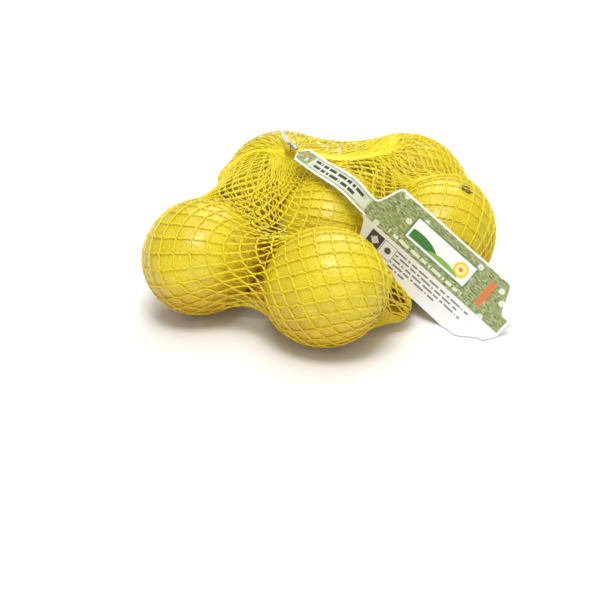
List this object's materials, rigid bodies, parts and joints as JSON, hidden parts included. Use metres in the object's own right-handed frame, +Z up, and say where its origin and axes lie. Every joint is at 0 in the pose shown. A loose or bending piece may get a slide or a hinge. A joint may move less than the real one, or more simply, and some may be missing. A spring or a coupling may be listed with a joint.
{
  "type": "net of lemons",
  "caption": "Mesh bag of fresh lemons lying on its side, gathered into a small metal clip at the top, with a folded hang label whose narrow neck is held in the clip.",
  "frame": {"origin": "on the ground, under the middle of the whole object's bounding box", "axes": "+Z up, perpendicular to the single layer of fruit; +Y from the front lemon to the two back lemons; +X towards the label's free end"},
  "size_m": [0.1895, 0.1908, 0.0673],
  "materials": {
    "net_bag": "knitted net over waxy peel",
    "label": "satin print",
    "label_strip": "satin",
    "clip": "satin"
  },
  "bodies": {
    "root": {"net_bag": "net_bag", "label": "label", "label_strip": "label_strip", "clip": "clip"}
  },
  "joints": []
}
